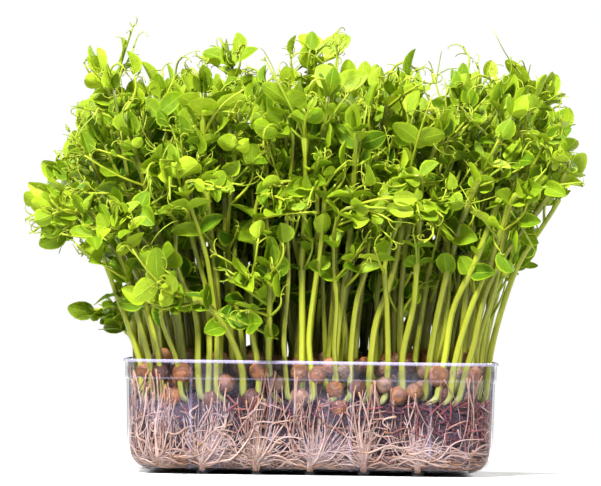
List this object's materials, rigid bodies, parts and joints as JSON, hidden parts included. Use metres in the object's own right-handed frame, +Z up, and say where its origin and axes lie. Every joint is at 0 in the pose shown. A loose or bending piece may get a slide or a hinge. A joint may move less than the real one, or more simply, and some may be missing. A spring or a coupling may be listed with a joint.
{
  "type": "pea shoots in a clear tray",
  "caption": "Thicket of leafy pea shoots with curling tendrils, rooted in dark compost under sprouted peas, in a low clear moulded tray that stands on ribs.",
  "frame": {"origin": "middle of the underside of the tray's centre rib, on which the tray stands", "axes": "+X along the tray's long side, to the right as seen in the picture; +Y to the back; +Z up along the stems"},
  "size_m": [0.2241, 0.164, 0.1817],
  "materials": {
    "tray": "clear thin moulded plastic",
    "compost": "moist dark fibrous compost",
    "roots": "pale moist roots",
    "peas": "tan and brown skins, slightly wrinkled",
    "shoot": "smooth green leaf with a soft gloss"
  },
  "bodies": {
    "root": {"compost": "compost", "peas": "peas", "roots": "roots", "shoot_16": "shoot", "shoot_17": "shoot", "shoot_18": "shoot", "shoot_19": "shoot", "shoot_20": "shoot", "shoot_21": "shoot", "shoot_22": "shoot", "shoot_23": "shoot", "shoot_24": "shoot", "shoot_25": "shoot", "shoot_26": "shoot", "shoot_27": "shoot", "shoot_28": "shoot", "shoot_29": "shoot", "shoot_30": "shoot", "shoot_31": "shoot", "shoot_32": "shoot", "shoot_33": "shoot", "shoot_34": "shoot", "shoot_35": "shoot", "shoot_36": "shoot", "shoot_37": "shoot", "shoot_38": "shoot", "shoot_39": "shoot", "shoot_40": "shoot", "shoot_41": "shoot", "shoot_42": "shoot", "shoot_43": "shoot", "shoot_44": "shoot", "shoot_45": "shoot", "shoot_46": "shoot", "shoot_47": "shoot", "shoot_48": "shoot", "shoot_49": "shoot", "shoot_50": "shoot", "shoot_51": "shoot", "shoot_52": "shoot", "shoot_bowed": "shoot", "shoot_edge_left": "shoot", "shoot_edge_right": "shoot", "shoot_far_left": "shoot", "shoot_far_right": "shoot", "shoot_hooked": "shoot", "shoot_left_bud": "shoot", "shoot_low_left": "shoot", "shoot_low_right": "shoot", "shoot_paired": "shoot", "shoot_right_bud": "shoot", "shoot_tall_centre": "shoot", "shoot_tall_left": "shoot", "shoot_tall_mid": "shoot", "shoot_top_right": "shoot", "tray": "tray"}
  },
  "joints": []
}
